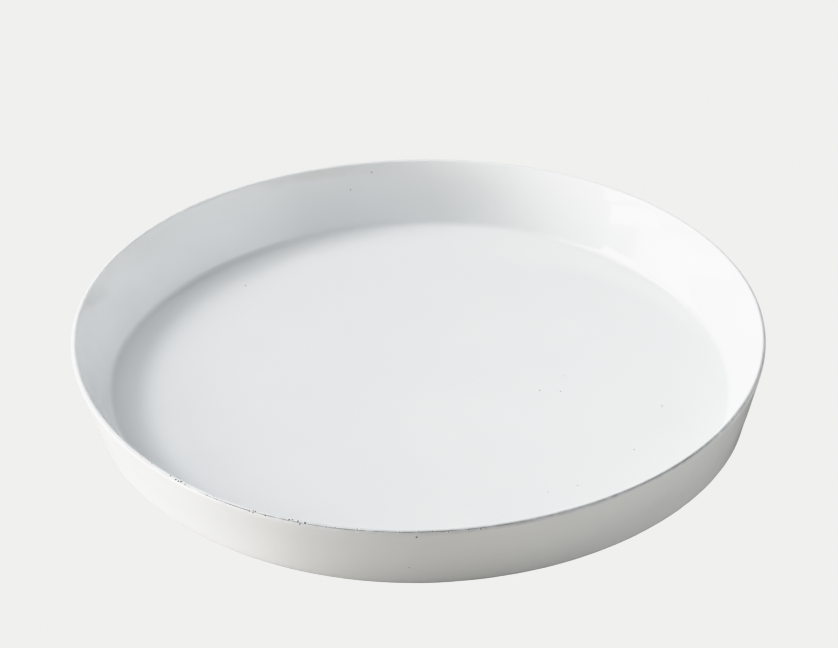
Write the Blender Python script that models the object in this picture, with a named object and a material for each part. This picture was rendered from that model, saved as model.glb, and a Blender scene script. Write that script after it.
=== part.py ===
"""A large round serving platter, hand-formed in dark clay under a milky white glaze.

Every sub-part is turned: a closed outline in the plane of radius and height is spun about the upright
axis, and the unevenness of hand work then moves the finished ring or disc. Neighbours keep a small gap
that stands for their bond, because the clay pieces are luted together and the glaze is fused on.

Units are metres. The origin is the centre of the plane that the foot rests on, and +Z is up.
"""

import math

import bmesh
import bpy

# The glazed platter's driving dimensions.
RIM_RADIUS = 0.185
HEIGHT = 0.0405
FOOT_RADIUS = 0.1723  # where the outer wall's line would reach the table
FLOOR_HEIGHT = 0.0085  # the top of the glazed floor, above the table
FLOOR_RADIUS = 0.163  # the flat part of the floor, where the inside corner starts
INSIDE_CORNER_RADIUS = 0.004
OUTSIDE_CORNER_RADIUS = 0.0025
LIP_RADIUS = 0.0016  # the lip is a half round, so it is twice this thick

# The coats of glaze, and the gap that stands for each bond.
GLAZE_THICKNESS = 0.0005
BOND_GAP = 0.0003
CLAY_DEPTH = GLAZE_THICKNESS + BOND_GAP
LIP_BREAK_ANGLE = math.radians(35)  # above level: the lip's outer edge, where the two coats end
LIP_BREAK_HALF_WIDTH = math.radians(5.4)
FOOT_GLAZE_END_ANGLE = math.radians(-60)  # below level: where the outer coat ends on the round of the foot
UNDERSIDE_GLAZE_END_HEIGHT = 0.0006

# The clay pieces.
SLAB_TOP = FLOOR_HEIGHT - CLAY_DEPTH
SLAB_BOTTOM = 0.003
STRIP_THICKNESS = 0.004  # of the wall's strip, below the height where it thins towards the lip
COIL_TOP = 0.022
FOOT_CONTACT_OUTER_RADIUS = 0.1705
FOOT_CONTACT_INNER_RADIUS = 0.162

# The unevenness of hand work: how many lobes a wave has round the platter, how far it moves the clay,
# and the direction of one of its lobes, counted from +X.
RIM_OUTLINE_WAVES = (
    (2, 0.0012, math.radians(84)),
    (3, 0.0015, math.radians(38)),
    (4, 0.0011, math.radians(-20)),
)
FOOT_OUTLINE_WAVES = (
    (2, 0.0014, math.radians(-54)),
    (4, 0.0009, math.radians(-9)),
)
RIM_HEIGHT_WAVES = (
    (2, 0.0012, math.radians(-64)),
    (3, 0.0009, math.radians(11)),
)

# Facets.
SEGMENTS = 72
CORNER_STEPS = 4
LIP_STEPS = 5
SHARP_ANGLE = math.radians(40)

# Finishes: colour and roughness.
CLAY_FINISH = ((0.040, 0.030, 0.026), 0.85)
GLAZE_FINISH = ((0.84, 0.86, 0.86), 0.08)

# What follows from the dimensions: the centres of the three rounds, and how far the two faces of the
# wall lean out from upright. The outer face touches the lip's round and ends at the foot's radius. The
# inner face runs from the inside corner's round, which lies in the air, to the lip's round in the clay.
LIP_CENTRE = (RIM_RADIUS - LIP_RADIUS, HEIGHT - LIP_RADIUS)
INSIDE_CORNER_CENTRE = (FLOOR_RADIUS, FLOOR_HEIGHT + INSIDE_CORNER_RADIUS)
OUTER_FLARE = math.atan2(LIP_CENTRE[0] - FOOT_RADIUS, LIP_CENTRE[1]) + math.asin(
    LIP_RADIUS / math.dist(LIP_CENTRE, (FOOT_RADIUS, 0))
)
INNER_FLARE = math.atan2(
    LIP_CENTRE[0] - INSIDE_CORNER_CENTRE[0], LIP_CENTRE[1] - INSIDE_CORNER_CENTRE[1]
) - math.asin((LIP_RADIUS + INSIDE_CORNER_RADIUS) / math.dist(LIP_CENTRE, INSIDE_CORNER_CENTRE))


def outer_face_radius(height, depth):
    """The radius, at a height, of the line that runs depth inside the wall's outer face."""
    return FOOT_RADIUS + height * math.tan(OUTER_FLARE) - depth / math.cos(OUTER_FLARE)


def inner_face_radius(height, depth):
    """The radius, at a height, of the line that runs depth behind the wall's inner face."""
    touching_radius = LIP_CENTRE[0] - LIP_RADIUS * math.cos(INNER_FLARE)
    touching_height = LIP_CENTRE[1] + LIP_RADIUS * math.sin(INNER_FLARE)
    rise = height - touching_height
    return touching_radius + rise * math.tan(INNER_FLARE) + depth / math.cos(INNER_FLARE)


OUTSIDE_CORNER_CENTRE = (
    outer_face_radius(OUTSIDE_CORNER_RADIUS, OUTSIDE_CORNER_RADIUS),
    OUTSIDE_CORNER_RADIUS,
)


def arc(centre, radius, start, end, steps):
    """Points on an arc, in radius and height, from one angle to another."""
    angles = [start + (end - start) * step / steps for step in range(steps + 1)]
    return [
        (centre[0] + radius * math.cos(angle), centre[1] + radius * math.sin(angle))
        for angle in angles
    ]


def inner_surface(depth):
    """The floor, the inside corner, the inner wall and the lip, at a depth below the glaze's face."""
    floor_centre = (0, FLOOR_HEIGHT - depth)
    corner = arc(
        INSIDE_CORNER_CENTRE,
        INSIDE_CORNER_RADIUS + depth,
        -math.pi / 2,
        -INNER_FLARE,
        CORNER_STEPS,
    )
    lip = arc(
        LIP_CENTRE,
        LIP_RADIUS - depth,
        math.pi - INNER_FLARE,
        LIP_BREAK_ANGLE + LIP_BREAK_HALF_WIDTH,
        LIP_STEPS,
    )
    return [floor_centre, *corner, *lip]


def outer_surface(depth):
    """The outside, from the lip's outer edge to the foot, at a depth below the glaze's face."""
    lip = arc(
        LIP_CENTRE,
        LIP_RADIUS - depth,
        LIP_BREAK_ANGLE - LIP_BREAK_HALF_WIDTH,
        -OUTER_FLARE,
        LIP_STEPS // 2,
    )
    corner = arc(
        OUTSIDE_CORNER_CENTRE,
        OUTSIDE_CORNER_RADIUS - depth,
        -OUTER_FLARE,
        FOOT_GLAZE_END_ANGLE,
        CORNER_STEPS // 2,
    )
    return [*lip, *corner]


def recess_surface(depth):
    """The underside inside the foot, at a depth below its clay, out to the end of its glaze."""
    ceiling = SLAB_BOTTOM - depth
    side_offset = depth * math.sqrt(2)  # the foot's inner side leans at 45 degrees
    return [
        (0, ceiling),
        (FOOT_CONTACT_INNER_RADIUS - side_offset - ceiling, ceiling),
        (
            FOOT_CONTACT_INNER_RADIUS - side_offset - UNDERSIDE_GLAZE_END_HEIGHT,
            UNDERSIDE_GLAZE_END_HEIGHT,
        ),
    ]


def wave_sum(waves, angle):
    """How far a set of waves moves the clay at an angle round the platter."""
    return sum(size * math.cos(lobes * (angle - direction)) for lobes, size, direction in waves)


def hand_formed(point):
    """Where hand work puts a point of the truly turned shape. The floor and the foot stay level."""
    radius = math.hypot(point.x, point.y)
    angle = math.atan2(point.y, point.x)
    foot_shift = wave_sum(FOOT_OUTLINE_WAVES, angle)
    rim_shift = wave_sum(RIM_OUTLINE_WAVES, angle)
    outline_shift = foot_shift + (rim_shift - foot_shift) * point.z / HEIGHT
    scale = 1 + outline_shift / RIM_RADIUS if radius else 1
    lift = max(0, point.z - FLOOR_HEIGHT) / (HEIGHT - FLOOR_HEIGHT)
    rise = lift * wave_sum(RIM_HEIGHT_WAVES, angle)
    return (point.x * scale, point.y * scale, point.z + rise)


def turned_mesh(name, outline):
    """Spin a closed outline about the upright axis. One that starts on the axis gives a disc."""
    bm = bmesh.new()
    verts = [bm.verts.new((radius, 0, height)) for radius, height in outline]
    is_disc = outline[0][0] == 0
    ends = verts[1:] if is_disc else verts[1:] + verts[:1]
    edges = [bm.edges.new(pair) for pair in zip(verts, ends)]
    bmesh.ops.spin(
        bm,
        geom=verts + edges,
        cent=(0, 0, 0),
        axis=(0, 0, 1),
        angle=math.tau,
        steps=SEGMENTS,
        use_merge=True,
    )
    bmesh.ops.remove_doubles(bm, verts=bm.verts, dist=1e-6)
    bmesh.ops.recalc_face_normals(bm, faces=bm.faces)
    for vert in bm.verts:
        vert.co = hand_formed(vert.co)
    mesh = bpy.data.meshes.new(name)
    bm.to_mesh(mesh)
    bm.free()
    mesh.shade_smooth()
    mesh.set_sharp_from_angle(angle=SHARP_ANGLE)
    return mesh


def finish_material(name, finish):
    """A plain material with a colour and a roughness."""
    colour, roughness = finish
    material = bpy.data.materials.new(name)
    material.use_nodes = True
    shader = material.node_tree.nodes["Principled BSDF"]
    shader.inputs["Base Color"].default_value = (*colour, 1)
    shader.inputs["Roughness"].default_value = roughness
    shader.inputs["Metallic"].default_value = 0
    return material


def add_part(platter, name, outline, finish):
    """Add one sub-part under the platter's empty."""
    mesh = turned_mesh(name, outline)
    mesh.materials.append(finish_material(name + "_finish", finish))
    part = bpy.data.objects.new(name, mesh)
    bpy.context.scene.collection.objects.link(part)
    part.parent = platter
    return part


def base_slab_outline():
    """The rolled disc of clay under the floor, cut to the wall's outer line."""
    return [
        (0, SLAB_BOTTOM),
        (outer_face_radius(SLAB_BOTTOM, CLAY_DEPTH), SLAB_BOTTOM),
        (outer_face_radius(SLAB_TOP, CLAY_DEPTH), SLAB_TOP),
        (0, SLAB_TOP),
    ]


def foot_ring_outline():
    """The low ring that carries the platter. Its outer side goes on down the wall's line."""
    top = SLAB_BOTTOM - BOND_GAP
    outer_round = arc(
        OUTSIDE_CORNER_CENTRE,
        OUTSIDE_CORNER_RADIUS - CLAY_DEPTH,
        -OUTER_FLARE,
        FOOT_GLAZE_END_ANGLE,
        CORNER_STEPS // 2,
    )
    return [
        (outer_face_radius(top, CLAY_DEPTH), top),
        *outer_round,
        (FOOT_CONTACT_OUTER_RADIUS, 0),
        (FOOT_CONTACT_INNER_RADIUS, 0),
        (FOOT_CONTACT_INNER_RADIUS - top, top),
    ]


def wall_strip_outline():
    """The flared strip on the slab's edge: even below the coil's top, and thinning above it."""
    bottom = SLAB_TOP + BOND_GAP
    ledge = COIL_TOP + BOND_GAP
    lip = arc(
        LIP_CENTRE,
        LIP_RADIUS - CLAY_DEPTH,
        -OUTER_FLARE,
        math.pi - INNER_FLARE,
        LIP_STEPS,
    )
    strip_back = CLAY_DEPTH + STRIP_THICKNESS
    return [
        (outer_face_radius(bottom, CLAY_DEPTH), bottom),
        *lip,
        (inner_face_radius(ledge, CLAY_DEPTH), ledge),
        (outer_face_radius(ledge, strip_back), ledge),
        (outer_face_radius(bottom, strip_back), bottom),
    ]


def corner_coil_outline():
    """The coil pressed into the inside corner and smeared up the wall to a thin edge."""
    bottom = SLAB_TOP + BOND_GAP
    round_radius = INSIDE_CORNER_RADIUS + CLAY_DEPTH
    start = -math.asin((INSIDE_CORNER_CENTRE[1] - bottom) / round_radius)
    corner = arc(INSIDE_CORNER_CENTRE, round_radius, start, -INNER_FLARE, CORNER_STEPS)
    coil_back = CLAY_DEPTH + STRIP_THICKNESS + BOND_GAP
    return [
        (outer_face_radius(bottom, coil_back), bottom),
        *corner,
        (inner_face_radius(COIL_TOP, CLAY_DEPTH), COIL_TOP),
        (outer_face_radius(COIL_TOP, coil_back), COIL_TOP),
    ]


def coat_outline(surface, face_depth, back_depth):
    """A coat of glaze: its face, and its back followed the other way."""
    return [*surface(face_depth), *reversed(surface(back_depth))]


def build():
    """Model the platter in an emptied scene."""
    for old in list(bpy.data.objects):
        bpy.data.objects.remove(old)
    platter = bpy.data.objects.new("platter", None)
    bpy.context.scene.collection.objects.link(platter)
    add_part(platter, "base_slab", base_slab_outline(), CLAY_FINISH)
    add_part(platter, "foot_ring", foot_ring_outline(), CLAY_FINISH)
    add_part(platter, "wall_strip", wall_strip_outline(), CLAY_FINISH)
    add_part(platter, "corner_coil", corner_coil_outline(), CLAY_FINISH)
    inner_glaze = coat_outline(inner_surface, 0, GLAZE_THICKNESS)
    add_part(platter, "inner_glaze", inner_glaze, GLAZE_FINISH)
    outer_glaze = coat_outline(outer_surface, 0, GLAZE_THICKNESS)
    add_part(platter, "outer_glaze", outer_glaze, GLAZE_FINISH)
    underside_glaze = coat_outline(recess_surface, CLAY_DEPTH, BOND_GAP)
    add_part(platter, "underside_glaze", underside_glaze, GLAZE_FINISH)


build()
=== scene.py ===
"""The looks of the round serving platter: milky white glaze over dark clay, in soft studio light.

The coats of glaze and the clay that shows are turned here at a fine resolution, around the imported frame.
Every turned surface lies on one section line, the line of the glaze's face, which runs from the middle of
the floor, up the wall, over the lip and down to the foot. A surface lies on it or at some depth below it.
Units are metres, and directions are counted from +X, counter-clockwise from above.
"""

import math
import random

import bmesh
import bpy
import numpy as np
from mathutils import Matrix, Vector, noise


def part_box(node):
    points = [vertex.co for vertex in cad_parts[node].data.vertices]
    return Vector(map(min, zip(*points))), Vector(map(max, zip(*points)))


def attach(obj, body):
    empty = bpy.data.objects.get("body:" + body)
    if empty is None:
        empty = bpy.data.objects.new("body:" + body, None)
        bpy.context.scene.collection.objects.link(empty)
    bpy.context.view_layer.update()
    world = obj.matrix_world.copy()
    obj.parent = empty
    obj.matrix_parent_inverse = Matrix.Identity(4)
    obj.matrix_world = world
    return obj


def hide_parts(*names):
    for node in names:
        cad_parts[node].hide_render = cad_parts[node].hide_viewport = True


MM = 0.001

# The section line's rounds and the coats' thickness, as in the CAD part.
LIP_RADIUS = 1.6 * MM
INSIDE_CORNER_RADIUS = 4.0 * MM
OUTSIDE_CORNER_RADIUS = 2.5 * MM
FOOT_GLAZE_END = math.radians(60)  # below level, on the outside corner's round
GLAZE_THICKNESS = 0.5 * MM
BOND_GAP = 0.3 * MM
CLAY_DEPTH = GLAZE_THICKNESS + BOND_GAP
STRIP_THICKNESS = 4.0 * MM  # of the clay wall behind the corner's coil

# Under the lip the inner wall turns outwards a little, as a finger wipes it.
LIP_FLARE_REACH = 10.0 * MM
LIP_FLARE_DEPTH = 0.75 * MM
LIP_FLARE_ANGLE = LIP_FLARE_DEPTH * math.pi / 2 / LIP_FLARE_REACH

# The hairline on the lip's outer edge, where the glaze pulls thin and lets the clay through.
BREAK_ANGLE = math.radians(47)  # above level, on the lip's round
BREAK_HALF_WIDTH = 0.12 * MM
BREAK_LEAST_SHARE = 0.12
BREAK_MOST_SHARE = 2.0
BAREST_DIRECTION = math.radians(-88)  # where the hairline is widest
BARE_FOCUS = 3  # how fast the hairline narrows away from there
BREAK_LONG_WAVE = (30 * MM, 5)  # how the hairline's width comes and goes: wavelength and seed
BREAK_SHORT_WAVE = (4 * MM, 6)
BREAK_SHORT_SHARE = 1.2  # of the short wave, beside the long one

# The grey band on both sides of the hairline: thin glaze over the clay, and painted shade that darkens it
# most at the front right, away from the window.
THIN_EDGE_REACH = 1.9 * MM
THIN_EDGE_THICKNESS = 0.12 * MM
DARKEST_BAND_DIRECTION = math.radians(-65)  # where the band is darkest: thin glaze with the most painted shade
THIN_AND_SHADE_FOCUS = 2.2
THIN_AND_SHADE_MOST = 0.60  # how dark the band is there: thin glaze and painted shade
THIN_AND_SHADE_LEAST = 0.03  # on the opposite side

# Hand-worked clay: how far each wave of the surface stands out, its wavelength and its seed.
FLOOR_WAVES = ((0.10 * MM, 75 * MM, 1), (0.03 * MM, 22 * MM, 2))
LONG_WALL_WAVE = (0.20 * MM, 16 * MM, 3)
SHORT_WALL_WAVE = (0.07 * MM, 9 * MM, 4)
WALL_WAVE_STRETCH = 3.3  # the wall's long waves run round the platter
SEED_STEPS = (17.3, 5.1, 9.7)  # how far apart in the noise two seeds lie

# Pinholes, in clusters on a stretch of the section line: from and to a share of the stretch, from and to a
# direction in degrees, how many, and their widths in mm. Most are on the lip, at the front.
FLOOR_PINHOLES = (
    ((0.38, 0.48), (-10, 10), 3, (0.50, 0.85)),
    ((0.70, 0.80), (-70, 20), 5, (0.60, 0.80)),
    ((0.85, 0.90), (130, 140), 1, (0.60, 0.80)),
)
INNER_WALL_PINHOLES = (((0.50, 0.90), (75, 140), 2, (0.60, 0.85)),)
LIP_PINHOLES = (
    ((0.35, 0.60), (-143, -136), 3, (0.50, 0.80)),
    ((0.35, 0.65), (-135, -130), 5, (0.85, 1.20)),
    ((0.35, 0.65), (-129, -119), 6, (0.45, 0.80)),
    ((0.40, 0.75), (-118, -115), 5, (0.70, 1.00)),
    ((0.35, 0.80), (-111, -108), 5, (0.85, 1.25)),
    ((0.45, 0.70), (-106, -99), 4, (0.55, 0.85)),
    ((0.45, 0.70), (-94, -79), 6, (0.50, 0.85)),
    ((0.50, 0.70), (-75, -10), 6, (0.40, 0.80)),
    ((0.20, 0.75), (20, 170), 6, (0.40, 0.75)),
)
OUTER_WALL_PINHOLES = (
    ((0.02, 0.04), (-100, -90), 1, (1.10, 1.20)),
    ((0.40, 0.70), (-160, -25), 2, (0.55, 0.65)),
)

PINHOLE_SEED = 7
PINHOLE_REACH = 0.8 * MM  # below the glaze's face, so that a pinhole goes right through its coat
PINHOLE_STRETCH = (0.85, 1.2)  # how much longer than round a pinhole is, at least and at most
PINHOLE_FACETS = 2  # how often the faces of its round body are divided
PINHOLE_RAGGEDNESS = 0.35
PINHOLE_RAG_SCALE = 1.5
PINHOLE_SPACING = 1.45  # the least distance between two, in times their width

# The underside and the foot.
UNDERSIDE_WAVE = 0.05 * MM
UNDERSIDE_WAVELENGTH = 30 * MM
UNDERSIDE_SEED = 7
UNDERSIDE_WAVE_FADE = 20 * MM  # from the recess's edge
POOL_REACH = 1.6 * MM  # of the glaze that pools in the recess's corner
COAT_EDGE_EASE = 0.2 * MM
FOOT_EASE = 0.5 * MM  # of the foot's worn edges
EASE_STEPS = 5

THIN_GLAZE_AND_SHADE = "thin_glaze_and_painted_shade"  # the attribute that says how dark the glaze is painted: thin glaze, and painted shade away from the window
MIDDLE_RADIUS = 4 * MM  # of the innermost row of a disc
COLUMNS = 720
LINE_STEP = 0.1 * MM
DIRECTION_DIGITS = 3  # vertices whose directions agree to this many decimals lie in one column
SHARP_ANGLE = math.radians(45)

# The greatest distances between rows: on rounds, on faces, and on faces near a round.
LIP_STEP = 0.35 * MM
CORNER_STEP = 0.5 * MM
WALL_STEP = 2.2 * MM
NEAR_LIP_STEP = 1 * MM
FLOOR_STEP = 8 * MM
NEAR_CORNER_STEP = 2 * MM
NEAR_REACH = 6 * MM  # how far from a round a face's rows lie closer
UNDERSIDE_STEP = 7 * MM
HIDDEN_STEP = 3 * MM  # of clay behind the glaze

# The glaze's colours, its roughness, and its patterns' scales and detail.
MILK_DARK = (0.80, 0.82, 0.825)
MILK_LIGHT = (0.83, 0.845, 0.845)
# The grey of thin glaze over the clay, which also carries painted shade on the lip's edge away from the
# window.
THIN_GLAZE_AND_SHADE_GREY = (0.27, 0.28, 0.30)
CLOUD_PATTERN = (14, 3)
BLOTCH_PATTERN = (220, 3)
BLOTCH_GAIN = 1.2
BLOTCH_LEAST = 0.3
GLOSS_PATTERN = (60, 2)
GLOSSIEST = (0.05,) * 3
LEAST_GLOSSY = (0.09,) * 3
GLAZE_IOR = 1.5
PEEL_PATTERN = (350, 2)
PEEL_STRENGTH = 0.25
PEEL_HEIGHT = 0.03 * MM
PATTERN_RANGE = (0.3, 0.7)  # the part of a pattern's values that a colour ramp spreads over

# The clay's colours and grain, and the inside of a pinhole: glaze stained by the clay, with painted shade,
# darker than the clay itself.
CLAY_DARK = (0.028, 0.020, 0.017)
CLAY_LIGHT = (0.075, 0.056, 0.048)
CLAY_ROUGHNESS = 0.85
GRAIN_PATTERN = (900, 4)
GRAIN_RANGE = (0.35, 0.7)
GRAIN_STRENGTH = 0.6
GRAIN_HEIGHT = 0.15 * MM
PINHOLE_STAIN_AND_SHADE_DARK = (0.020, 0.016, 0.014)
PINHOLE_STAIN_AND_SHADE_LIGHT = (0.060, 0.050, 0.045)
PINHOLE_STAIN_AND_SHADE_PATTERN = (2500, 2)
STAIN_ROUGHNESS = 0.5


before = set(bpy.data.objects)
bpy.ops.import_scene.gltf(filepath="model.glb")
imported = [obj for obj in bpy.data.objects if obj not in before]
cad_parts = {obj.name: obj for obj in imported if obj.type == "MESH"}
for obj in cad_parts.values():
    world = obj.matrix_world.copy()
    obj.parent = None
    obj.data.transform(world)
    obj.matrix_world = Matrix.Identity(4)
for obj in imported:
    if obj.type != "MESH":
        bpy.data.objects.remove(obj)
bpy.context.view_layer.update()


# Measuring the frame.


def node_points(node):
    """A CAD node's vertices as radius, height and direction."""
    points = np.array([vert.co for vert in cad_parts[node].data.vertices])
    return np.hypot(points[:, 0], points[:, 1]), points[:, 2], np.arctan2(points[:, 1], points[:, 0])


def extreme_by_direction(directions, sizes, values):
    """For each direction that holds vertices, the value of the vertex whose size is largest."""
    found = {}
    for direction, size, value in zip(np.round(directions, DIRECTION_DIGITS), sizes, values):
        if direction not in found or size > found[direction][0]:
            found[direction] = (size, value)
    return np.array(list(found)), np.array([value for _, value in found.values()])


class RoundCurve:
    """A smooth function of direction through values measured round the platter, and its mean."""

    WAVES = 8

    def __init__(self, directions, values):
        orders = np.arange(1, self.WAVES + 1)
        turns = np.outer(directions, orders)
        basis = np.hstack([np.ones((len(directions), 1)), np.cos(turns), np.sin(turns)])
        weights = np.linalg.lstsq(basis, values, rcond=None)[0]
        self.mean = weights[0]
        self.cosines = weights[1 : self.WAVES + 1]
        self.sines = weights[self.WAVES + 1 :]

    def at(self, angle):
        total = np.full_like(angle, self.mean)
        for order in range(self.WAVES):
            total = total + self.cosines[order] * np.cos((order + 1) * angle)
            total = total + self.sines[order] * np.sin((order + 1) * angle)
        return total


class Measured:
    """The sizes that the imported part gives, and how far hand work moved its outline."""

    def __init__(self):
        radii, heights, directions = node_points("outer_glaze")
        self.rim_radius = RoundCurve(*extreme_by_direction(directions, radii, radii))
        self.rim_level = RoundCurve(*extreme_by_direction(directions, radii, heights)).mean
        self.foot_radius = RoundCurve(*extreme_by_direction(directions, -heights, radii))
        self.foot_level = heights.min()
        radii, heights, directions = node_points("inner_glaze")
        self.height = RoundCurve(*extreme_by_direction(directions, heights, heights))
        self.floor_level = heights.min() + GLAZE_THICKNESS
        on_floor = (abs(heights - self.floor_level) < LINE_STEP) & (radii > INSIDE_CORNER_RADIUS)
        edge = extreme_by_direction(directions[on_floor], radii[on_floor], radii[on_floor])
        self.floor_radius = RoundCurve(*edge).mean

        radii, heights, directions = node_points("corner_coil")
        self.coil_top = RoundCurve(*extreme_by_direction(directions, heights, heights)).mean
        self.strip_bottom = node_points("wall_strip")[1].min()

        radii, heights, directions = node_points("foot_ring")
        on_table = heights < LINE_STEP
        contact_radii, contact_directions = radii[on_table], directions[on_table]
        outer = extreme_by_direction(contact_directions, contact_radii, contact_radii)
        inner = extreme_by_direction(contact_directions, -contact_radii, contact_radii)
        self.contact_outer = RoundCurve(*outer).mean
        self.contact_inner = RoundCurve(*inner).mean
        self.ring_top = heights.max()
        self.recess_level = node_points("underside_glaze")[1].max()
        self.underside_glaze_end = node_points("underside_glaze")[1].min()

    def hand_formed(self, radius, height, angle):
        """Where hand work puts points of the truly turned shape."""
        rim_stretch = self.rim_radius.at(angle) / self.rim_radius.mean - 1
        foot_stretch = self.foot_radius.at(angle) / self.foot_radius.mean - 1
        share = (height - self.foot_level) / (self.rim_level - self.foot_level)
        stretched = radius * (1 + foot_stretch + (rim_stretch - foot_stretch) * share)
        lift = np.clip((height - self.floor_level) / (self.height.mean - self.floor_level), 0, None)
        raised = height + lift * (self.height.at(angle) - self.height.mean)
        return np.stack([stretched * np.cos(angle), stretched * np.sin(angle), raised], -1)


measured = Measured()


# The section line.


def arc(centre, radius, start, end):
    """Closely spaced points on an arc."""
    count = max(2, math.ceil(abs(end - start) * radius / LINE_STEP))
    turns = np.linspace(start, end, count + 1)
    return np.stack([centre[0] + radius * np.cos(turns), centre[1] + radius * np.sin(turns)], -1)


def straight(start, end):
    """Closely spaced points between two points, without the ends."""
    count = max(2, math.ceil(math.dist(start, end) / LINE_STEP))
    share = np.linspace(0, 1, count + 1)[1:-1, None]
    return np.asarray(start) * (1 - share) + np.asarray(end) * share


def flared(points):
    """The inner wall's points, moved into the well so that the wall turns outwards under the lip."""
    run = points[-1] - points[0]
    length = np.hypot(*run)
    below_lip = np.hypot(*(points[-1] - points).T)
    into_well = np.array([-run[1], run[0]]) / length
    near = np.sin(math.pi / 2 * np.clip(below_lip / LIP_FLARE_REACH, 0, 1))
    fade = np.clip((below_lip - LIP_FLARE_REACH) / (length - LIP_FLARE_REACH), 0, 1)
    swell = near * (1 + np.cos(math.pi * fade)) / 2
    return points + LIP_FLARE_DEPTH * swell[:, None] * into_well


class SectionLine:
    """The glaze's face in radius and height, with marks for its parts, by length from the middle."""

    def __init__(self):
        lip = (measured.rim_radius.mean - LIP_RADIUS, measured.height.mean - LIP_RADIUS)
        inside = (measured.floor_radius, measured.floor_level + INSIDE_CORNER_RADIUS)
        outside = (
            measured.foot_radius.mean - OUTSIDE_CORNER_RADIUS * math.cos(FOOT_GLAZE_END),
            OUTSIDE_CORNER_RADIUS,
        )
        inner_flare = math.atan2(lip[0] - inside[0], lip[1] - inside[1]) - math.asin(
            (LIP_RADIUS + INSIDE_CORNER_RADIUS) / math.dist(lip, inside)
        )
        outer_flare = math.atan2(lip[0] - outside[0], lip[1] - outside[1]) - math.asin(
            (OUTSIDE_CORNER_RADIUS - LIP_RADIUS) / math.dist(lip, outside)
        )
        inside_arc = arc(inside, INSIDE_CORNER_RADIUS, -math.pi / 2, -inner_flare)
        lip_start = math.pi - inner_flare - LIP_FLARE_ANGLE
        lip_arc = arc(lip, LIP_RADIUS, lip_start, -outer_flare)
        outside_arc = arc(outside, OUTSIDE_CORNER_RADIUS, -outer_flare, -math.pi / 2)
        wall = np.vstack([inside_arc[-1:], straight(inside_arc[-1], lip_arc[0]), lip_arc[:1]])
        pieces = [
            np.array([[0, measured.floor_level]]),
            straight((0, measured.floor_level), inside_arc[0]),
            inside_arc,
            flared(wall)[1:-1],
            lip_arc,
            straight(lip_arc[-1], outside_arc[0]),
            outside_arc,
        ]
        self.points = np.vstack(pieces)
        steps = np.hypot(*np.diff(self.points, axis=0).T)
        self.lengths = np.concatenate([[0], np.cumsum(steps)])
        ends = self.lengths[np.cumsum([len(piece) for piece in pieces]) - 1]
        self.floor_end, self.corner_end, self.wall_end, self.lip_end, self.outer_end = ends[1:6]
        self.break_at = self.wall_end + LIP_RADIUS * (lip_start - BREAK_ANGLE)
        self.foot_glaze_end = self.outer_end + OUTSIDE_CORNER_RADIUS * (FOOT_GLAZE_END - outer_flare)
        tangents = np.gradient(self.points, self.lengths, axis=0)
        normals = np.stack([-tangents[:, 1], tangents[:, 0]], -1)
        self.normals = normals / np.hypot(*normals.T)[:, None]

    def at(self, length, depth):
        """Radius and height of points on the line, or at a depth below it."""
        radius = np.interp(length, self.lengths, self.points[:, 0])
        height = np.interp(length, self.lengths, self.points[:, 1])
        across = np.interp(length, self.lengths, self.normals[:, 0])
        upwards = np.interp(length, self.lengths, self.normals[:, 1])
        return radius - depth * across, height - depth * upwards

    def inner_length(self, height, depth):
        """The length on the corner and the inner wall where a depth below the line has a height."""
        lengths = np.arange(self.floor_end, self.wall_end, LINE_STEP)
        return np.interp(height, self.at(lengths, depth)[1], lengths)

    def outer_length(self, height, depth):
        """The length on the outer wall and the foot's round where a depth below the line has a height."""
        lengths = np.arange(self.lengths[-1], self.lip_end, -LINE_STEP)
        return np.interp(height, self.at(lengths, depth)[1], lengths)

    def outer_radius(self, height, depth):
        """The radius of the outer wall's line, or of a line at a depth below it, at a height."""
        return self.at(self.outer_length(height, depth), depth)[0]


line = SectionLine()
angles = np.linspace(0, math.tau, COLUMNS, endpoint=False)


# Unevenness of the surface, as smooth random waves.


def wave_field(places, wavelength, seed):
    """Smooth noise between about -1 and 1 at places, with features about a wavelength wide."""
    shift = Vector([seed * step for step in SEED_STEPS])
    flat = places.reshape(-1, 3) / wavelength
    values = [noise.noise(Vector(place) + shift) for place in flat]
    return np.array(values).reshape(places.shape[:-1])


def wave(places, reach, wavelength, seed):
    """How far a wave of some reach stands out at places."""
    return reach * wave_field(places, wavelength, seed)


def around(radius, height, angle):
    """Points in space from radius, height and direction."""
    return np.stack(np.broadcast_arrays(radius * np.cos(angle), radius * np.sin(angle), height), -1)


def unevenness(length, angle):
    """How far the whole wall or floor stands out from the turned shape at a place on the line."""
    radius, height = line.at(length, 0)
    places = around(radius, height, angle)
    long_places = around(radius / WALL_WAVE_STRETCH, length, angle)
    floor = sum(wave(places, *kind) for kind in FLOOR_WAVES)
    wall = wave(long_places, *LONG_WALL_WAVE) + wave(places, *SHORT_WALL_WAVE)
    wall_share = np.clip((length - line.floor_end) / INSIDE_CORNER_RADIUS, 0, 1)
    return floor * (1 - wall_share) + wall * wall_share


def surface_points(length, angle, depth):
    """Points on the hand-worked face, or at a depth below it."""
    length, angle = np.broadcast_arrays(np.asarray(length, float), angle)
    radius, height = line.at(length, depth - unevenness(length, angle))
    return measured.hand_formed(radius, height, angle)


def lobe(angle, direction, focus):
    """1 in a direction, falling smoothly to 0 on the opposite side."""
    return ((1 + np.cos(angle - direction)) / 2) ** focus


def thin_glaze_and_shade_band(angle, near_edge):
    """How dark the glaze is painted near the lip's edge and the foot's: thin glaze over the clay, and painted
    shade that is darkest on the side away from the window.
    """
    darkness = THIN_AND_SHADE_LEAST + (THIN_AND_SHADE_MOST - THIN_AND_SHADE_LEAST) * lobe(angle, DARKEST_BAND_DIRECTION, THIN_AND_SHADE_FOCUS)
    return darkness * np.sin(math.pi / 2 * near_edge)


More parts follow.
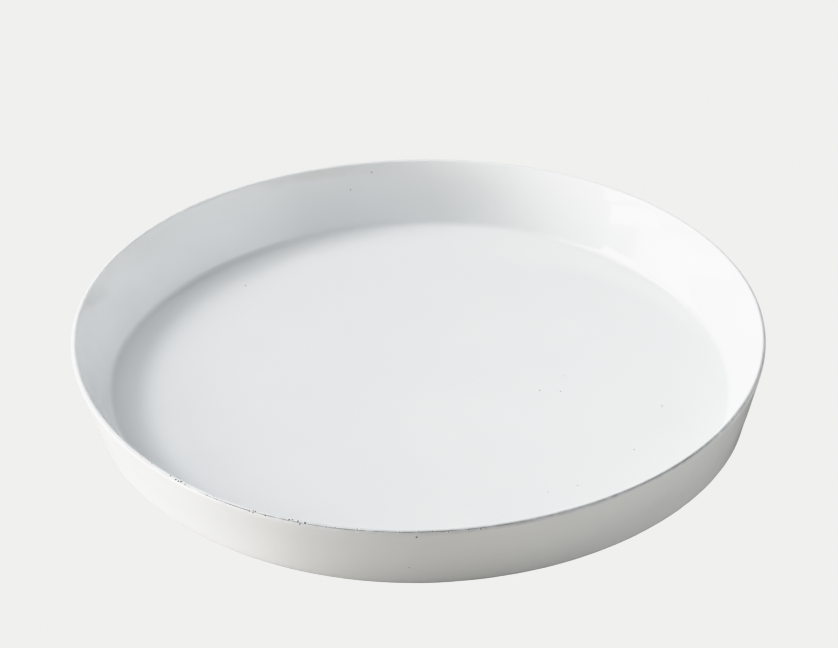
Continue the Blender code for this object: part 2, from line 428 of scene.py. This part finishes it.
def break_half_width(angle):
    """Half the width of the hairline on the lip's edge, which comes and goes round the platter."""
    places = around(measured.rim_radius.mean, 0, angle)
    coarse = wave_field(places, *BREAK_LONG_WAVE)
    fine = wave_field(places, *BREAK_SHORT_WAVE)
    share = lobe(angle, BAREST_DIRECTION, BARE_FOCUS) * (1 + coarse + BREAK_SHORT_SHARE * fine)
    return BREAK_HALF_WIDTH * np.clip(share, BREAK_LEAST_SHARE, BREAK_MOST_SHARE)


def edge_share(length):
    """How near a place is to an edge of a coat: 1 at the lip's hairline and at the foot, then falling."""
    from_break = abs(length - line.break_at)
    from_foot = line.foot_glaze_end - length
    return 1 - np.clip(np.minimum(from_break, from_foot) / THIN_EDGE_REACH, 0, 1)


def coat_thickness(length):
    """The glaze's thickness: full on the faces, and thin where it pulls away from the lip's edge."""
    thinning = 1 - np.sqrt(1 - edge_share(length))
    return GLAZE_THICKNESS + (THIN_EDGE_THICKNESS - GLAZE_THICKNESS) * thinning


def clay_depth(length):
    """How deep the clay lies below the glaze's face, with the gap that stands for the bond."""
    return coat_thickness(length) * (1 + BOND_GAP / GLAZE_THICKNESS)


# Turning pieces.


def face_rows(lengths, depth_at):
    """Rows of points round the platter that follow the section line, at depths given by a function."""
    return [surface_points(length, angles, depth_at(length)) for length in lengths]


def level_row(radius, height):
    """A row of points that follows the hand-formed outline at one radius and height."""
    return measured.hand_formed(radius, height + 0 * angles, angles)


def eased(corners):
    """An outline from corners of radius, height and the length over which each is worn round."""
    points = [np.array(corner[:2]) for corner in corners]
    found = []
    for place, (corner, (_, _, ease)) in enumerate(zip(points, corners)):
        if not ease:
            found.append(corner)
            continue
        before = points[place - 1] - corner
        after = points[(place + 1) % len(points)] - corner
        start, end = (corner + side * min(0.5, ease / np.hypot(*side)) for side in (before, after))
        for share in np.linspace(0, 1, EASE_STEPS):
            found.append((1 - share) ** 2 * start + 2 * share * (1 - share) * corner + share**2 * end)
    return found


def stations(*stretches):
    """Lengths along the line, in stretches of (start, end, greatest step)."""
    found = []
    for start, end, step in stretches:
        count = max(1, math.ceil(abs(end - start) / step))
        found += list(np.linspace(start, end, count, endpoint=False))
    return np.array([*found, stretches[-1][1]])


def turned_mesh(name, rows, is_disc):
    """A closed mesh from rows of points, which follow the piece's outline with its body on their right.

    A disc's first and last rows are closed by a point in their middle. Other pieces close on themselves.
    """
    rows = np.asarray(rows)
    corners = np.arange(rows.size // 3).reshape(len(rows), COLUMNS)
    if not is_disc:
        corners = np.vstack([corners, corners[:1]])
    following = np.roll(corners, -1, axis=1)
    quads = np.stack([corners[:-1], corners[1:], following[1:], following[:-1]], -1).reshape(-1, 4)
    faces = quads.tolist()
    points = rows.reshape(-1, 3).tolist()
    if is_disc:
        points += [rows[0].mean(0).tolist(), rows[-1].mean(0).tolist()]
        top, bottom = len(points) - 2, len(points) - 1
        faces += [(top, near, far) for near, far in zip(corners[0].tolist(), following[0].tolist())]
        faces += [(bottom, far, near) for near, far in zip(corners[-1].tolist(), following[-1].tolist())]
    mesh = bpy.data.meshes.new(name)
    mesh.from_pydata(points, [], faces)
    mesh.shade_smooth()
    mesh.set_sharp_from_angle(angle=SHARP_ANGLE)
    return mesh


def add_piece(name, mesh, material, node):
    """Show a fine piece in place of a CAD node."""
    mesh.materials.append(material)
    piece = bpy.data.objects.new(name, mesh)
    bpy.context.scene.collection.objects.link(piece)
    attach(piece, "root")
    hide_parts(node)
    return piece


# Pinholes.


def apart(hole, other):
    """Whether two pinholes leave some glaze between them."""
    length, direction, width = hole
    other_length, other_direction, other_width = other
    along = math.radians(direction - other_direction) * line.at(length, 0)[0]
    between = math.hypot(along, length - other_length)
    return between > PINHOLE_SPACING * (width + other_width) / 2 * MM


def scattered_pinholes(draw):
    """All pinholes as (length along the line, direction, width)."""
    stretches = (
        (line.wall_end, line.lip_end, LIP_PINHOLES),
        (0, line.floor_end, FLOOR_PINHOLES),
        (line.corner_end, line.wall_end, INNER_WALL_PINHOLES),
        (line.lip_end, line.outer_end, OUTER_WALL_PINHOLES),
    )
    found = []
    for start, end, clusters in stretches:
        for shares, directions, count, widths in clusters:
            wanted = len(found) + count
            while len(found) < wanted:
                length = start + (end - start) * draw.uniform(*shares)
                hole = (length, draw.uniform(*directions), draw.uniform(*widths))
                if all(apart(hole, other) for other in found):
                    found.append(hole)
    return found


def pinhole_cutter(draw):
    """One object with a small irregular body for each pinhole, used only to cut the coats."""
    bm = bmesh.new()
    for number, (length, direction, width) in enumerate(scattered_pinholes(draw)):
        angle = np.array([math.radians(direction)])
        above, below = (surface_points(length, angle, depth)[0] for depth in (-MM, MM))
        outwards = Vector(above - below)
        stretch = draw.uniform(*PINHOLE_STRETCH)
        size = Matrix.Diagonal((width * MM / 2 * stretch, width * MM / 2 / stretch, PINHOLE_REACH, 1))
        turn = outwards.to_track_quat("Z", "Y").to_matrix().to_4x4()
        spin = Matrix.Rotation(draw.uniform(0, math.tau), 4, "Z")
        place = Matrix.Translation(Vector(above + below) / 2) @ turn @ spin @ size
        body = bmesh.ops.create_icosphere(bm, subdivisions=PINHOLE_FACETS, radius=1)["verts"]
        for vert in body:
            bulge = noise.noise(vert.co * PINHOLE_RAG_SCALE + Vector((number, 0, 0)))
            vert.co = place @ (vert.co * (1 + PINHOLE_RAGGEDNESS * bulge))
    mesh = bpy.data.meshes.new("pinholes")
    bm.to_mesh(mesh)
    bm.free()
    mesh.materials.append(pinhole_material())
    cutter = bpy.data.objects.new("pinholes", mesh)
    bpy.context.scene.collection.objects.link(cutter)
    return cutter


def cut_pinholes(piece, cutter):
    """Cut the pinholes through a coat, and keep the result as the piece's own mesh."""
    cut = piece.modifiers.new("pinholes", "BOOLEAN")
    cut.object = cutter
    cut.operation = "DIFFERENCE"
    cut.solver = "EXACT"
    cut.material_mode = "TRANSFER"
    whole = piece.data
    piece.data = bpy.data.meshes.new_from_object(
        piece.evaluated_get(bpy.context.evaluated_depsgraph_get())
    )
    piece.modifiers.clear()
    bpy.data.meshes.remove(whole)
    piece.data.set_sharp_from_angle(angle=SHARP_ANGLE)


# Materials.


def node_material(name):
    """A new material with its tree, its shader and an object-space coordinate."""
    material = bpy.data.materials.new(name)
    material.use_nodes = True
    tree = material.node_tree
    return material, tree, tree.nodes["Principled BSDF"], tree.nodes.new("ShaderNodeTexCoord")


def math_node(tree, operation, *values):
    """The outcome of a calculation with sockets and plain numbers."""
    node = tree.nodes.new("ShaderNodeMath")
    node.operation = operation
    for socket, value in zip(node.inputs, values):
        if isinstance(value, bpy.types.NodeSocket):
            tree.links.new(value, socket)
        else:
            socket.default_value = value
    return node.outputs["Value"]


def noise_texture(tree, coordinate, pattern):
    """Noise over the object's own coordinates, with a pattern's scale and detail."""
    scale, detail = pattern
    texture = tree.nodes.new("ShaderNodeTexNoise")
    texture.inputs["Scale"].default_value = scale
    texture.inputs["Detail"].default_value = detail
    tree.links.new(coordinate.outputs["Object"], texture.inputs["Vector"])
    return texture.outputs["Fac"]


def colour_ramp(tree, source, value_range, first, last):
    """A colour that turns from the first to the last as a value crosses a range."""
    ramp = tree.nodes.new("ShaderNodeValToRGB")
    for element, value, colour in zip(ramp.color_ramp.elements, value_range, (first, last)):
        element.position = value
        element.color = (*colour, 1)
    tree.links.new(source, ramp.inputs["Fac"])
    return ramp.outputs["Color"]


def bump(tree, height, strength, distance):
    """A bump from a height value."""
    node = tree.nodes.new("ShaderNodeBump")
    node.inputs["Strength"].default_value = strength
    node.inputs["Distance"].default_value = distance
    tree.links.new(height, node.inputs["Height"])
    return node.outputs["Normal"]


def mixed_colour(tree, share, first, second):
    """The first colour output, turned towards a second plain colour by a share."""
    mix = tree.nodes.new("ShaderNodeMix")
    mix.data_type = "RGBA"
    tree.links.new(share, mix.inputs["Factor"])
    tree.links.new(first, mix.inputs["A"])
    mix.inputs["B"].default_value = (*second, 1)
    return mix.outputs["Result"]


def thin_glaze_and_shade_share(tree, coordinate):
    """How far the glaze turns to the grey of thin glaze and painted shade, blotchy along the thin edge."""
    edge = tree.nodes.new("ShaderNodeAttribute")
    edge.attribute_name = THIN_GLAZE_AND_SHADE
    blotches = noise_texture(tree, coordinate, BLOTCH_PATTERN)
    uneven = math_node(tree, "MULTIPLY_ADD", blotches, BLOTCH_GAIN, BLOTCH_LEAST)
    return math_node(tree, "MULTIPLY", edge.outputs["Fac"], uneven)


def glaze_material():
    """Milky white glaze: nearly even colour, a wet gloss, a faint orange peel and grey thin edges, whose grey
    is partly painted shade on the side away from the window.
    """
    material, tree, shader, coordinate = node_material("milky_white_glaze")
    cloud = noise_texture(tree, coordinate, CLOUD_PATTERN)
    milk = colour_ramp(tree, cloud, PATTERN_RANGE, MILK_DARK, MILK_LIGHT)
    # The thin edges' grey: thin glaze, and painted shade on the side away from the window.
    colour = mixed_colour(tree, thin_glaze_and_shade_share(tree, coordinate), milk, THIN_GLAZE_AND_SHADE_GREY)
    tree.links.new(colour, shader.inputs["Base Color"])
    gloss = noise_texture(tree, coordinate, GLOSS_PATTERN)
    roughness = colour_ramp(tree, gloss, PATTERN_RANGE, GLOSSIEST, LEAST_GLOSSY)
    tree.links.new(roughness, shader.inputs["Roughness"])
    shader.inputs["IOR"].default_value = GLAZE_IOR
    peel = noise_texture(tree, coordinate, PEEL_PATTERN)
    tree.links.new(bump(tree, peel, PEEL_STRENGTH, PEEL_HEIGHT), shader.inputs["Normal"])
    return material


def clay_material():
    """Fired dark clay: nearly black, matt and grainy."""
    material, tree, shader, coordinate = node_material("fired_dark_clay")
    grain = noise_texture(tree, coordinate, GRAIN_PATTERN)
    colour = colour_ramp(tree, grain, GRAIN_RANGE, CLAY_DARK, CLAY_LIGHT)
    tree.links.new(colour, shader.inputs["Base Color"])
    shader.inputs["Roughness"].default_value = CLAY_ROUGHNESS
    tree.links.new(bump(tree, grain, GRAIN_STRENGTH, GRAIN_HEIGHT), shader.inputs["Normal"])
    return material


def pinhole_material():
    """The inside of a pinhole: glaze stained by the clay that boiled through it, painted nearly black to
    stand for the shade in the hole as well.
    """
    material, tree, shader, coordinate = node_material("stained_and_shaded_pinhole")
    stain_and_shade = noise_texture(tree, coordinate, PINHOLE_STAIN_AND_SHADE_PATTERN)
    # Nearly black: stained glaze and painted shade in the hole.
    colour = colour_ramp(tree, stain_and_shade, PATTERN_RANGE, PINHOLE_STAIN_AND_SHADE_DARK, PINHOLE_STAIN_AND_SHADE_LIGHT)
    tree.links.new(colour, shader.inputs["Base Color"])
    shader.inputs["Roughness"].default_value = STAIN_ROUGHNESS
    return material


glaze = glaze_material()
clay = clay_material()


# The coats of glaze.


def coat_mesh(name, lengths, ends, is_disc):
    """A coat: its face along the line, and its back the other way. Its ends vary round the platter."""
    clipped = [np.clip(length, *ends) + 0 * angles for length in lengths]
    path = clipped + clipped[::-1]
    faces = face_rows(clipped, lambda length: 0)
    backs = face_rows(clipped, coat_thickness)
    mesh = turned_mesh(name, faces + backs[::-1], is_disc)
    # The thin edges' darkness for each vertex: thin glaze, and painted shade on the side away from the
    # window.
    shown = [thin_glaze_and_shade_band(angles, edge_share(length)) for length in path]
    middle = np.zeros(len(mesh.vertices) - COLUMNS * len(path))
    edge = mesh.attributes.new(THIN_GLAZE_AND_SHADE, "FLOAT", "POINT")
    edge.data.foreach_set("value", np.concatenate([*shown, middle]))
    return mesh


def add_inner_glaze(cutter):
    """The coat on the floor, the corner, the inner wall and the lip."""
    lengths = stations(
        (MIDDLE_RADIUS, line.floor_end - NEAR_REACH, FLOOR_STEP),
        (line.floor_end - NEAR_REACH, line.floor_end, NEAR_CORNER_STEP),
        (line.floor_end, line.corner_end, CORNER_STEP),
        (line.corner_end, line.wall_end - NEAR_REACH, WALL_STEP),
        (line.wall_end - NEAR_REACH, line.wall_end, NEAR_LIP_STEP),
        (line.wall_end, line.break_at, LIP_STEP),
    )
    ends = (0, line.break_at - break_half_width(angles))
    mesh = coat_mesh("inner_glaze_coat", lengths, ends, True)
    cut_pinholes(add_piece(mesh.name, mesh, glaze, "inner_glaze"), cutter)


def add_outer_glaze(cutter):
    """The coat on the outside, from the lip's edge to the foot."""
    lengths = stations(
        (line.break_at, line.lip_end, LIP_STEP),
        (line.lip_end, line.lip_end + NEAR_REACH, NEAR_LIP_STEP),
        (line.lip_end + NEAR_REACH, line.outer_end, WALL_STEP),
        (line.outer_end, line.foot_glaze_end, LIP_STEP),
    )
    ends = (line.break_at + break_half_width(angles), line.foot_glaze_end)
    mesh = coat_mesh("outer_glaze_coat", lengths, ends, False)
    cut_pinholes(add_piece(mesh.name, mesh, glaze, "outer_glaze"), cutter)


def add_underside_glaze():
    """The coat in the recess under the floor, pooled a little where it meets the foot."""
    top = measured.recess_level
    face = top - GLAZE_THICKNESS
    end = measured.underside_glaze_end
    # The foot ring's inner side leans in at 45 degrees, so a gap across it is longer when measured level.
    back_side = measured.contact_inner - BOND_GAP * math.sqrt(2)
    face_side = back_side - GLAZE_THICKNESS * math.sqrt(2)
    corners = [
        (MIDDLE_RADIUS, top, 0),
        (back_side - top, top, 0),
        (back_side - end, end, COAT_EDGE_EASE),
        (face_side - end, end, COAT_EDGE_EASE),
        (face_side - face, face, POOL_REACH),
        (face_side - face - 2 * POOL_REACH, face, 0),
    ]
    rows = [level_row(radius, height) for radius, height in eased(corners)]
    flat_edge = face_side - face - 3 * POOL_REACH
    for radius in stations((flat_edge, MIDDLE_RADIUS, UNDERSIDE_STEP)):
        waves = wave_field(around(radius, 0, angles), UNDERSIDE_WAVELENGTH, UNDERSIDE_SEED)
        fade = min(1, (flat_edge - radius) / UNDERSIDE_WAVE_FADE)
        rows.append(level_row(radius, face + UNDERSIDE_WAVE * fade * waves))
    mesh = turned_mesh("underside_glaze_coat", rows, True)
    add_piece(mesh.name, mesh, glaze, "underside_glaze")


# The clay pieces.


def back_rows(depth, *heights):
    """Rows at some heights on a surface that runs at a depth inside the outer wall."""
    return [level_row(line.outer_radius(height, depth), height) for height in heights]


def add_wall_strip():
    """The clay wall, which shows as a hairline on the lip and at the bottom of pinholes."""
    ledge = measured.coil_top + BOND_GAP
    bottom = measured.strip_bottom
    lengths = stations(
        (line.inner_length(ledge, CLAY_DEPTH), line.wall_end, HIDDEN_STEP),
        (line.wall_end, line.lip_end, LIP_STEP),
        (line.lip_end, line.outer_length(bottom, CLAY_DEPTH), HIDDEN_STEP),
    )
    back = back_rows(CLAY_DEPTH + STRIP_THICKNESS, bottom, ledge)
    mesh = turned_mesh("wall_strip_clay", face_rows(lengths, clay_depth) + back, False)
    add_piece(mesh.name, mesh, clay, "wall_strip")


def add_corner_coil():
    """The coil behind the inside corner's glaze."""
    bottom = measured.strip_bottom
    top = measured.coil_top
    lengths = stations(
        (line.inner_length(bottom, CLAY_DEPTH), line.corner_end, CORNER_STEP),
        (line.corner_end, line.inner_length(top, CLAY_DEPTH), HIDDEN_STEP),
    )
    back = back_rows(CLAY_DEPTH + STRIP_THICKNESS + BOND_GAP, top, bottom)
    mesh = turned_mesh("corner_coil_clay", face_rows(lengths, clay_depth) + back, False)
    add_piece(mesh.name, mesh, clay, "corner_coil")


def add_base_slab():
    """The slab under the floor, which shows at the bottom of the floor's pinholes."""
    low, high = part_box("base_slab")
    middle = [level_row(MIDDLE_RADIUS, height) for height in (high[2], low[2])]
    rim = back_rows(CLAY_DEPTH, high[2], low[2])
    mesh = turned_mesh("base_slab_clay", [middle[0], *rim, middle[1]], True)
    add_piece(mesh.name, mesh, clay, "base_slab")


def add_foot_ring():
    """The bare ring that carries the platter, with its edges worn round."""
    top = measured.ring_top
    corners = [(line.outer_radius(top, CLAY_DEPTH), top, 0)]
    for length in stations((line.outer_end, line.foot_glaze_end, CORNER_STEP)):
        corners.append((*line.at(length, CLAY_DEPTH), 0))
    corners += [
        (measured.contact_outer, 0, FOOT_EASE),
        (measured.contact_inner, 0, FOOT_EASE),
        (measured.contact_inner - top, top, 0),
    ]
    rows = [level_row(radius, height) for radius, height in eased(corners)]
    mesh = turned_mesh("foot_ring_clay", rows, False)
    add_piece(mesh.name, mesh, clay, "foot_ring")


cutter = pinhole_cutter(random.Random(PINHOLE_SEED))
add_inner_glaze(cutter)
add_outer_glaze(cutter)
bpy.data.objects.remove(cutter)
add_underside_glaze()
add_wall_strip()
add_corner_coil()
add_base_slab()
add_foot_ring()


# The studio.

BACKDROP = (0.981, 0.981, 0.959)  # how the camera sees the floor and what is beyond it, before the tone curve
FLOOR_SIZE = 6.0
FLOOR_TONE = (0.50, 0.485, 0.46)  # how much light the floor throws back
FOCAL_LENGTH = 214.8
SENSOR_WIDTH = 36.0
CAMERA_PLACE = (0, -2.2441, 1.4494)
CAMERA_DOWN = math.radians(32.01)
CAMERA_ROLL = math.radians(-1.03)

# The light's tints and strengths. The window is the key light, and the ceiling and the wall on the right
# throw its light back. The rest of the room fills with cool light, and warm light comes up from the front.
DAYLIGHT = (1.00, 0.98, 0.97)
COOL_ROOM = (0.85, 0.93, 1.00)
WARM_BOUNCE = (1.00, 0.75, 0.40)
WINDOW_STRENGTH = 20
CURTAIN_STRENGTH = 14  # of the window's upper part, behind a thin curtain
FRAME_STRENGTH = 6  # of the strip where the window's frame shades it
CEILING_STRENGTH = 3
ROOM_STRENGTH = 1.25
DIM_STRENGTH = 0.5

# Soft boxes far away round the platter: direction, half its width and the softness of its sides, lowest and
# highest elevation and the softness of these edges, all in degrees, then tint and strength.
SOFT_BOXES = (
    ("window_low", 170, 24, 2, -8, 12, 2, DAYLIGHT, WINDOW_STRENGTH),
    ("window_frame", 174, 12, 1, 12, 20, 1, DAYLIGHT, FRAME_STRENGTH),
    ("window_middle", 187, 10, 1, 20, 30, 1, DAYLIGHT, CURTAIN_STRENGTH),
    ("window_top", 171, 26, 2, 33, 44, 1, DAYLIGHT, CURTAIN_STRENGTH),
    ("ceiling_by_window", 165, 35, 5, 44, 64, 5, DAYLIGHT, CEILING_STRENGTH),
    ("overhead", 0, 180, 8, 64, 95, 8, COOL_ROOM, DIM_STRENGTH),
    ("right_low", 0, 30, 4, -8, 8, 4, COOL_ROOM, ROOM_STRENGTH),
    ("right_high", 0, 45, 8, 8, 42, 8, DAYLIGHT, ROOM_STRENGTH),
    ("back_wall", 90, 40, 8, 0, 48, 8, COOL_ROOM, DIM_STRENGTH),
    ("front_right", 313, 38, 14, 6, 27, 1, COOL_ROOM, ROOM_STRENGTH),
    ("front_low", 300, 40, 3, -8, 6, 3, WARM_BOUNCE, ROOM_STRENGTH),
)

# The tone curve: tones are kept up to the knee and then level off towards the highest tone.
TONE_KNEE = 0.7
TONE_HIGHEST = 0.957
TONE_WHITE = 4.0  # the brightest light that the curve covers
TONE_POINTS = (0.35, 0.6, 0.7, 0.8, 0.9, 1.0, 1.15, 1.3, 1.5, 1.8, 2.2, 3.0)  # the light at its points
COMBINED_CURVE = 3  # the curve for all three colours at once


def add_floor():
    """A plain pale floor. The camera sees its even colour, and other rays see grey paper."""
    bpy.ops.mesh.primitive_plane_add(size=FLOOR_SIZE)
    floor = bpy.context.object
    floor.name = "studio_floor"
    material, tree, paper, _ = node_material("studio_floor")
    paper.inputs["Base Color"].default_value = (*FLOOR_TONE, 1)
    paper.inputs["Roughness"].default_value = 1
    paper.inputs["Specular IOR Level"].default_value = 0
    seen = tree.nodes.new("ShaderNodeEmission")
    seen.inputs["Color"].default_value = (*BACKDROP, 1)
    mix = camera_switch(tree, paper.outputs["BSDF"], seen.outputs["Emission"])
    tree.links.new(mix, tree.nodes["Material Output"].inputs["Surface"])
    floor.data.materials.append(material)


def camera_switch(tree, for_light, for_camera):
    """One shader for the camera's own rays and another for all others."""
    path = tree.nodes.new("ShaderNodeLightPath")
    mix = tree.nodes.new("ShaderNodeMixShader")
    tree.links.new(path.outputs["Is Camera Ray"], mix.inputs["Fac"])
    tree.links.new(for_light, mix.inputs[1])
    tree.links.new(for_camera, mix.inputs[2])
    return mix.outputs["Shader"]


def add_camera():
    """A long lens that looks down at the platter at about 32 degrees."""
    data = bpy.data.cameras.new("camera")
    data.lens = FOCAL_LENGTH
    data.sensor_width = SENSOR_WIDTH
    camera = bpy.data.objects.new("camera", data)
    tilt = Matrix.Rotation(math.pi / 2 - CAMERA_DOWN, 4, "X")
    roll = Matrix.Rotation(CAMERA_ROLL, 4, "Z")
    camera.matrix_world = Matrix.Translation(CAMERA_PLACE) @ tilt @ roll
    bpy.context.scene.collection.objects.link(camera)
    bpy.context.scene.camera = camera


def soft_step(tree, value, edge, softness):
    """A smooth step from 0 to 1 as a value passes an edge."""
    step = tree.nodes.new("ShaderNodeMapRange")
    step.interpolation_type = "SMOOTHSTEP"
    tree.links.new(value, step.inputs["Value"])
    step.inputs["From Min"].default_value = edge - softness
    step.inputs["From Max"].default_value = edge + softness
    return step.outputs["Result"]


def soft_box(tree, compass, box):
    """The light of one soft box, as a background that is dark outside it."""
    (across, away, elevation) = compass
    name, direction, half_width, side_softness, low, high, softness, colour, strength = box
    turn = math.radians(direction)
    along = math_node(
        tree, "ADD", math_node(tree, "MULTIPLY", across, math.cos(turn)),
        math_node(tree, "MULTIPLY", away, math.sin(turn)),
    )
    aside = math_node(
        tree, "SUBTRACT", math_node(tree, "MULTIPLY", away, math.cos(turn)),
        math_node(tree, "MULTIPLY", across, math.sin(turn)),
    )
    off = math_node(tree, "ABSOLUTE", math_node(tree, "ARCTAN2", aside, along))
    soft = math.radians(softness)
    beside = soft_step(tree, off, math.radians(half_width), math.radians(side_softness))
    above_low = soft_step(tree, elevation, math.radians(low), soft)
    above_high = soft_step(tree, elevation, math.radians(high), soft)
    upright = math_node(tree, "SUBTRACT", above_low, above_high)
    inside = math_node(tree, "MULTIPLY", upright, math_node(tree, "SUBTRACT", 1, beside))
    light = tree.nodes.new("ShaderNodeBackground")
    light.label = name
    light.inputs["Color"].default_value = (*colour, 1)
    tree.links.new(math_node(tree, "MULTIPLY", inside, strength), light.inputs["Strength"])
    return light.outputs["Background"]


def add_world():
    """Soft boxes all round for the light, and a plain pale backdrop for the camera."""
    world = bpy.data.worlds.new("studio")
    world.use_nodes = True
    tree = world.node_tree
    tree.nodes.clear()
    coordinate = tree.nodes.new("ShaderNodeTexCoord")
    axes = tree.nodes.new("ShaderNodeSeparateXYZ")
    tree.links.new(coordinate.outputs["Generated"], axes.inputs["Vector"])
    compass = (
        axes.outputs["X"],
        axes.outputs["Y"],
        math_node(tree, "ARCSINE", axes.outputs["Z"]),
    )
    light = None
    for box in SOFT_BOXES:
        added = soft_box(tree, compass, box)
        if light:
            both = tree.nodes.new("ShaderNodeAddShader")
            tree.links.new(light, both.inputs[0])
            tree.links.new(added, both.inputs[1])
            added = both.outputs["Shader"]
        light = added
    seen = tree.nodes.new("ShaderNodeBackground")
    seen.inputs["Color"].default_value = (*BACKDROP, 1)
    shown = camera_switch(tree, light, seen.outputs["Background"])
    output = tree.nodes.new("ShaderNodeOutputWorld")
    tree.links.new(shown, output.inputs["Surface"])
    bpy.context.scene.world = world


def toned(light):
    """The tone that a light value is shown with."""
    if light < TONE_KNEE:
        return light
    headroom = TONE_HIGHEST - TONE_KNEE
    return TONE_HIGHEST - headroom * math.exp((TONE_KNEE - light) / headroom)


def set_tone_curve():
    """Show light as a camera does, with bright tones pressed together instead of cut off."""
    view = bpy.context.scene.view_settings
    view.view_transform = "Standard"
    view.use_curve_mapping = True
    mapping = view.curve_mapping
    mapping.white_level = (TONE_WHITE,) * 3
    curve = mapping.curves[COMBINED_CURVE]
    for light in TONE_POINTS:
        curve.points.new(light / TONE_WHITE, toned(light))
    curve.points[-1].location = (1, toned(TONE_WHITE))
    mapping.update()


add_floor()
add_camera()
add_world()
set_tone_curve()
